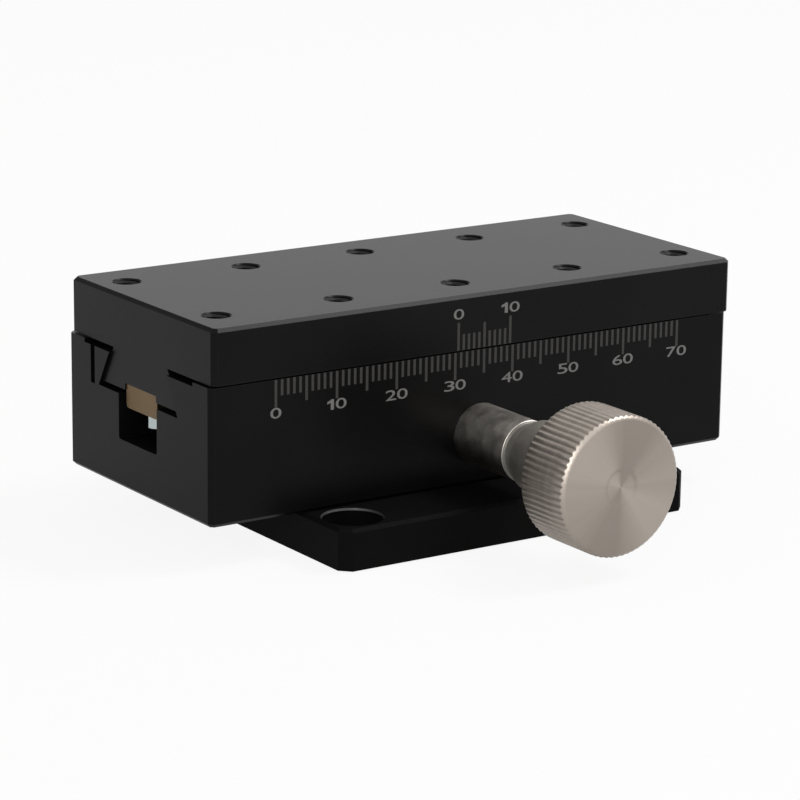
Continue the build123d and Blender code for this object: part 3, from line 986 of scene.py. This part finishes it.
@dataclass
class BoreBevels:
    """Light bevels at the mouths of the foot plate's four counterbores."""

    pitch: float = 50.0 * MM
    radius: float = 4.5 * MM
    width: float = 0.16 * MM
    depth: float = 0.34 * MM
    below_top: float = 0.01 * MM
    overlap: float = 0.02 * MM
    steps: int = 96

    def build(self, material: Material) -> None:
        """Builds the four bevels as one piece.

        Args:
            material: Material of the bevels.
        """
        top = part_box("base_plate")[1].z - self.below_top
        outer, inner = self.radius + self.overlap, self.radius - self.width
        section = ((outer, top), (outer, top - self.depth), (inner, top - self.depth))
        bm = bmesh.new()
        for x in (-self.pitch / 2, self.pitch / 2):
            for y in (-self.pitch / 2, self.pitch / 2):
                points = [bm.verts.new((x + radius, y, z)) for radius, z in section]
                edges = [bm.edges.new((points[i - 1], points[i])) for i in range(len(points))]
                spin(bm, points + edges, (x, y, top), UPRIGHT, self.steps)
        clean(bm)
        seat(piece_from(bm, "bore_bevels", [material]), Body.BASE, Slot.FOOT)


@dataclass
class Graduation:
    """Engraved millimetre scale on the body and vernier on the table, with their fillings."""

    lines: Material
    digits: Material
    proud: float = 0.012 * MM
    sunk: float = 0.03 * MM
    stroke: float = 0.42 * MM
    zero_x: float = -34.5 * MM
    count: int = 71
    step: float = 1.0 * MM
    short: float = 2.3 * MM
    middle: float = 3.5 * MM
    long: float = 3.95 * MM
    gap: float = 0.04 * MM
    digit_height: float = 1.5 * MM
    digit_width: float = 1.78 * MM
    one_width: float = 1.1 * MM
    digit_gap: float = 0.16 * MM
    gap_after_one: float = 0.14 * MM
    digit_drop: float = 4.76 * MM
    boldness: float = 0.004
    vernier_zero: float = -4.5 * MM
    vernier_count: int = 11
    vernier_step: float = 0.9 * MM
    vernier_short: float = 2.35 * MM
    vernier_middle: float = 3.7 * MM
    vernier_long: float = 4.1 * MM
    vernier_digit_rise: float = 5.35 * MM
    vernier_gap: float = 0.05 * MM
    seam: float = 0.2 * MM
    stem_share: float = 0.48
    flag_slope: float = 0.36
    flag_height: float = 0.24
    flag_rise: float = 0.27
    flag_depth: float = 0.98
    flag_inset: float = 0.6
    curve_steps: int = 6

    def bar(self, bm: BMesh, x: float, face_y: float, z_from: float, z_to: float) -> None:
        """Adds one upright mark.

        Args:
            bm: Mesh that gets the mark.
            x: Middle of the mark.
            face_y: Y of the face that it is cut into.
            z_from: One end's height.
            z_to: The other end's height.
        """
        size = Vector((self.stroke, self.proud + self.sunk, abs(z_to - z_from)))
        middle = Vector((x, face_y + (self.sunk - self.proud) / 2, (z_from + z_to) / 2))
        place = Matrix.Translation(middle) @ Matrix.Diagonal((*size, 1.0))
        bmesh.ops.create_cube(bm, size=1.0, matrix=place)

    def one(self, bm: BMesh, left: float, middle_y: float, z: float) -> None:
        """Adds a 1: a stem with a flag that slopes down from its top.

        Args:
            bm: Mesh that gets the digit.
            left: X of its left side.
            middle_y: Y of the middle of its thickness.
            z: Height of its middle.
        """
        height = self.digit_height
        stem, depth = self.one_width * self.stem_share, self.proud + self.sunk
        place = Matrix.Translation((left + self.one_width - stem / 2, middle_y, z))
        size = Matrix.Diagonal((stem, depth, height, 1.0))
        bmesh.ops.create_cube(bm, size=1.0, matrix=place @ size)
        reach = self.one_width - stem * self.flag_inset
        lean = Matrix.Identity(4)
        lean[2][0] = self.flag_slope
        size = Matrix.Diagonal((reach, depth * self.flag_depth, height * self.flag_height, 1.0))
        place = Matrix.Translation((left + reach / 2, middle_y, z + height * self.flag_rise))
        bmesh.ops.create_cube(bm, size=1.0, matrix=place @ lean @ size)

    def round_digit(self, bm: BMesh, text: str, left: float, middle_y: float, z: float) -> None:
        """Adds a digit other than 1, drawn wide and bold.

        Args:
            bm: Mesh that gets the digit.
            text: The digit.
            left: X of its left side.
            middle_y: Y of the middle of its thickness.
            z: Height of its middle.
        """
        curve = bpy.data.curves.new("digit", "FONT")
        curve.body = text
        curve.size = 1.0
        curve.offset = self.boldness
        curve.extrude = 0.5
        curve.resolution_u = self.curve_steps
        holder = bpy.data.objects.new("digit", curve)
        bpy.context.scene.collection.objects.link(holder)
        bpy.context.view_layer.update()
        drawn = holder.evaluated_get(bpy.context.evaluated_depsgraph_get())
        mesh = bpy.data.meshes.new_from_object(drawn)
        bpy.data.objects.remove(holder)
        lows = [min(vert.co[i] for vert in mesh.vertices) for i in range(3)]
        highs = [max(vert.co[i] for vert in mesh.vertices) for i in range(3)]
        wanted = (self.digit_width, self.digit_height, self.proud + self.sunk)
        scales = [size / (high - low) for size, low, high in zip(wanted, lows, highs)]
        sized = Matrix.Diagonal((*scales, 1.0))
        centred = Matrix.Translation([-(low + high) / 2 for low, high in zip(lows, highs)])
        upright = Matrix.Rotation(math.radians(90), 4, "X")
        place = Matrix.Translation((left + self.digit_width / 2, middle_y, z))
        mesh.transform(place @ upright @ sized @ centred)
        bm.from_mesh(mesh)
        bpy.data.meshes.remove(mesh)

    def number(self, bm: BMesh, text: str, x: float, face_y: float, z: float) -> None:
        """Adds one number.

        Args:
            bm: Mesh that gets the number.
            text: The number's digits.
            x: Its middle along X.
            face_y: Y of the face that it is cut into.
            z: Height of its middle.
        """
        widths = [self.one_width if digit == "1" else self.digit_width for digit in text]
        gaps = [self.digit_gap + (self.gap_after_one if digit == "1" else 0.0) for digit in text]
        left = x - (sum(widths) + sum(gaps[:-1])) / 2
        middle_y = face_y + (self.sunk - self.proud) / 2
        for digit, width, gap in zip(text, widths, gaps):
            if digit == "1":
                self.one(bm, left, middle_y, z)
            else:
                self.round_digit(bm, digit, left, middle_y, z)
            left += width + gap

    def build_scale(self) -> None:
        """Builds the body's scale."""
        low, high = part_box("slide_body")
        marks, numbers = bmesh.new(), bmesh.new()
        top = high.z - self.gap
        for index in range(self.count):
            x = self.zero_x + index * self.step
            fives = self.middle if index % 5 == 0 else self.short
            length = self.long if index % 10 == 0 else fives
            self.bar(marks, x, low.y, top, top - length)
            if index % 10 == 0:
                self.number(numbers, str(index), x, low.y, high.z - self.digit_drop)
        seat(piece_from(marks, "scale_marks", [self.lines]), Body.BASE, Slot.BODY)
        seat(piece_from(numbers, "scale_numbers", [self.digits]), Body.BASE, Slot.BODY)

    def build_vernier(self) -> None:
        """Builds the table's vernier."""
        low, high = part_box("table_plate")
        marks, numbers = bmesh.new(), bmesh.new()
        zero = (low.x + high.x) / 2 + self.vernier_zero
        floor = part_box("slide_body")[1].z + self.seam
        for index in range(self.vernier_count):
            x = zero + index * self.vernier_step
            is_end = index in (0, self.vernier_count - 1)
            inner = self.vernier_middle if index == self.vernier_count // 2 else self.vernier_short
            length = self.vernier_long if is_end else inner
            self.bar(marks, x, low.y, floor + self.vernier_gap, floor + length)
            if is_end:
                self.number(numbers, str(index), x, low.y, floor + self.vernier_digit_rise)
        seat(piece_from(marks, "vernier_marks", [self.lines]), Body.TABLE, Slot.TABLE)
        seat(piece_from(numbers, "vernier_numbers", [self.digits]), Body.TABLE, Slot.TABLE)


# ---- studio ----


@dataclass(frozen=True)
class Camera:
    """Long lens in front of the stage, to its left and a little above it."""

    azimuth: float = 34.014
    elevation: float = 14.49
    roll: float = 0.662
    distance: float = 512.7 * MM
    lens: float = 154.57
    aim_right: float = -0.19 * MM
    aim_up: float = 13.42 * MM
    sensor: float = 36.0

    def build(self) -> None:
        """Builds the camera and makes it the scene's own."""
        turn, tilt, roll = map(math.radians, (self.azimuth, self.elevation, self.roll))
        flat = math.cos(tilt)
        ahead = Vector((math.sin(turn) * flat, math.cos(turn) * flat, -math.sin(tilt)))
        level = Vector((math.cos(turn), -math.sin(turn), 0.0))
        above = level.cross(ahead)
        right = level * math.cos(roll) + above * math.sin(roll)
        up = above * math.cos(roll) - level * math.sin(roll)
        eye = right * self.aim_right + up * self.aim_up - ahead * self.distance
        data = bpy.data.cameras.new("camera")
        data.sensor_width = self.sensor
        data.lens = self.lens
        camera = bpy.data.objects.new("camera", data)
        camera.matrix_world = Matrix((right, up, -ahead)).transposed().to_4x4()
        camera.location = eye
        bpy.context.scene.collection.objects.link(camera)
        bpy.context.scene.camera = camera


@dataclass(frozen=True)
class Softbox:
    """Area lamp that faces the stage."""

    name: str
    place: Triple
    size: float
    power: float
    target: Triple = (0.0, 0.0, 0.02)

    def build(self) -> None:
        """Builds the lamp."""
        data = bpy.data.lights.new(self.name, "AREA")
        data.shape = "DISK"
        data.size = self.size
        data.energy = self.power
        lamp = bpy.data.objects.new(self.name, data)
        lamp.location = self.place
        aim = Vector(self.target) - Vector(self.place)
        lamp.rotation_euler = aim.to_track_quat("-Z", "Y").to_euler()
        bpy.context.scene.collection.objects.link(lamp)


@dataclass(frozen=True)
class Studio:
    """White surroundings, pale floor and lamps."""

    ambient: float = 0.55
    seen: float = 1.0
    dark_side: Triple = (-0.25, 0.80, 0.54)
    dark_edges: Span = (0.94, 0.985)
    dark_share: float = 0.85
    floor_colour: Triple = (0.86, 0.86, 0.86)
    floor_roughness: float = 0.9
    floor_drop: float = 0.2 * MM
    floor_lift: float = 0.9
    floor_lift_mirrored: float = 0.45
    floor_size: float = 6.0
    lamps: tuple[Softbox, ...] = (
        Softbox("overhead", (0.45, -0.22, 0.70), 0.34, 3.0),
        Softbox("front_fill", (-0.55, -0.6, 0.35), 0.4, 1.6),
    )

    def seen_rays(self, tree: NodeTree) -> tuple[NodeSocket, NodeSocket]:
        """Tells apart the rays that show the surroundings.

        Args:
            tree: Tree to add to.

        Returns:
            A socket that is 1 for camera and transmission rays, and one that is 1 for glossy rays.
        """
        path = tree.nodes.new("ShaderNodeLightPath").outputs
        seen = math_node("MAXIMUM", tree, path["Is Camera Ray"], path["Is Transmission Ray"])
        return seen, path["Is Glossy Ray"]

    def dark_part(self, tree: NodeTree) -> NodeSocket:
        """Marks the part of the room above and behind the stage, where no light stands.

        Args:
            tree: Tree to add to.

        Returns:
            The socket of the share of light that this part lacks.
        """
        ray = tree.nodes.new("ShaderNodeTexCoord").outputs["Generated"]
        facing = dot_node(tree, ray, self.dark_side)
        return map_range(tree, facing, self.dark_edges, (0.0, self.dark_share), smooth=True)

    def build_world(self) -> None:
        """Builds the white surroundings."""
        world = bpy.data.worlds.new("surroundings")
        bpy.context.scene.world = world
        world.use_nodes = True
        tree = world.node_tree
        background = tree.nodes["Background"]
        background.inputs["Color"].default_value = WHITE
        straight, mirrored = self.seen_rays(tree)
        seen = math_node("MAXIMUM", tree, straight, mirrored)
        full = plus(tree, times(tree, seen, self.seen - self.ambient), self.ambient)
        lit = minus(tree, 1.0, times(tree, mirrored, self.dark_part(tree)))
        tree.links.new(times(tree, full, lit), background.inputs["Strength"])

    def build_floor(self) -> None:
        """Builds the pale floor under the foot plate."""
        bm = bmesh.new()
        place = Matrix.Translation((0.0, 0.0, CAD_BOX[0][2] - self.floor_drop))
        half = self.floor_size / 2
        bmesh.ops.create_grid(bm, x_segments=1, y_segments=1, size=half, matrix=place)
        material, shader, _ = blank_material("floor")
        tree = material.node_tree
        looks = {
            "Base Color": (*self.floor_colour, 1.0),
            "Roughness": self.floor_roughness,
            "Specular IOR Level": 0.0,
        }
        feed_all(tree, shader, looks)
        glow = tree.nodes.new("ShaderNodeEmission")
        mix = tree.nodes.new("ShaderNodeMixShader")
        straight, mirrored = self.seen_rays(tree)
        direct = times(tree, straight, self.floor_lift)
        reflected = times(tree, mirrored, self.floor_lift_mirrored)
        tree.links.new(math_node("MAXIMUM", tree, direct, reflected), mix.inputs[0])
        tree.links.new(shader.outputs[0], mix.inputs[1])
        tree.links.new(glow.outputs[0], mix.inputs[2])
        tree.links.new(mix.outputs[0], tree.nodes["Material Output"].inputs["Surface"])
        floor = piece_from(bm, "floor", [material])

    def build(self) -> None:
        """Builds the surroundings, the floor and the lamps."""
        self.build_world()
        self.build_floor()
        for lamp in self.lamps:
            lamp.build()


@dataclass
class Finishes:
    """Every material of the stage, built once."""

    groups: Groups = field(default_factory=Groups)
    made: dict[Slot | str, Material] = field(default_factory=dict)

    def recipes(self) -> dict[Slot | str, Anodised | Metal | Paint]:
        """Gives the finish of each slot of the record, and of each part of a piece."""
        axis = knob_axis()
        return {
            Slot.FOOT: Anodised(
                "anodised foot", (0.0022, 0.0020, 0.0020), (0.0034, 0.0031, 0.0030),
                roughness=(0.62, 0.72), specular=0.055, rub=0.0,
            ),
            Slot.BODY: Anodised("anodised body", specular=0.085, rub=0.1),
            Slot.TABLE: Anodised("anodised table", rub=0.12),
            Slot.BLACK_SCREWS: Metal(
                "blackened steel", (0.035, 0.034, 0.033), (0.06, 0.058, 0.055), (0.35, 0.5)
            ),
            Slot.STEEL_SCREWS: Metal("plain screw steel", (0.42, 0.41, 0.4), (0.3, 0.29, 0.28)),
            Slot.PINS: Metal("ground pin steel", (0.51, 0.57, 0.57), (0.44, 0.49, 0.5), (0.1, 0.2)),
            Slot.RACK: Metal(
                "milled brass", (0.185, 0.12, 0.062), (0.135, 0.09, 0.046), (0.35, 0.5),
                Pattern.MILLED,
            ),
            # The sleeve's colour carries a painted shade, darker towards its underside.
            Slot.SLEEVE: Metal(
                "turned sleeve steel", (0.92, 0.86, 0.79), (0.38, 0.355, 0.32), (0.34, 0.5),
                patches=420.0, axis_height=axis, film=0.75,
            ),
            Slot.BUSH: Metal("plain bronze", (0.4, 0.25, 0.11), (0.3, 0.19, 0.09)),
            Slot.SPRING: Metal("spring steel", (0.35, 0.35, 0.36), (0.28, 0.28, 0.3)),
            Slot.NYLON: Paint("grey nylon", (0.16, 0.155, 0.14), (0.12, 0.115, 0.105), 0.45),
            Slot.SHAFT: Metal(
                "turned shaft steel", (0.42, 0.41, 0.4), (0.34, 0.33, 0.32),
                pattern=Pattern.TURNED, axis_height=axis,
            ),
            Slot.KNOB: Metal(
                "knurled knob steel", (0.42, 0.37, 0.325), (0.33, 0.29, 0.255), (0.3, 0.42),
                Pattern.TURNED, patches=300.0, axis_height=axis,
            ),
            # The faced front's colour holds a painted sheen in two lobes and a painted shade ring
            # at the dish.
            "faced": Metal(
                "faced knob steel", (0.43, 0.379, 0.333), (0.30, 0.263, 0.23), (0.27, 0.36),
                Pattern.FACED, anisotropy=0.6, axis_height=axis,
            ),
            "hub": Metal(
                "turned hub steel", (0.46, 0.43, 0.385), (0.28, 0.26, 0.235), (0.46, 0.58),
                patches=300.0,
            ),
            # A darker copy of the sleeve steel on its chamfered front edge: painted shade that dims
            # the edge's bright reflection.
            "rim": Metal(
                "rim steel with painted shade", (0.17, 0.162, 0.143), (0.13, 0.123, 0.11), (0.45, 0.55),
            ),
            "threads": Anodised(
                "tapped threads", (0.009, 0.009, 0.010), (0.005, 0.005, 0.006), specular=0.15,
                rub=0.5,
            ),
            "bevel": Anodised(
                "bevelled bore", (0.06, 0.06, 0.06), (0.03, 0.03, 0.03), specular=0.4, rub=0.0,
            ),
            "lines": Paint("scale filling", (0.052, 0.051, 0.048), (0.039, 0.038, 0.036)),
            "digits": Paint("number filling", (0.20, 0.198, 0.192), (0.145, 0.143, 0.138)),
        }

    def build(self) -> None:
        """Builds the materials and gives them to the CAD nodes by slot."""
        self.made = {use: recipe.build(self.groups) for use, recipe in self.recipes().items()}
        for entry in frame["record"]["subparts"]:
            node = frame["nodes"][entry["node"]]
            for place in node.material_slots:
                place.material = self.made[Slot(entry["material_slot"])]
            LOG.info("%s is dressed as %s", entry["node"], entry["material_slot"])


def main() -> None:
    """Dresses the stage and builds its detail, then the studio."""
    logging.basicConfig(level=logging.INFO, format="%(name)s: %(message)s")
    finishes = Finishes()
    finishes.build()
    made = finishes.made
    Knob().build(made[Slot.KNOB], made["faced"], made["hub"])
    Sleeve().build(made[Slot.SLEEVE], made["rim"])
    TableThreads().build(made["threads"])
    BoreBevels().build(made["bevel"])
    graduation = Graduation(made["lines"], made["digits"])
    graduation.build_scale()
    graduation.build_vernier()
    Studio().build()
    Camera().build()
    bpy.context.scene.view_settings.view_transform = "Standard"


if __name__ == "__main__":
    main()
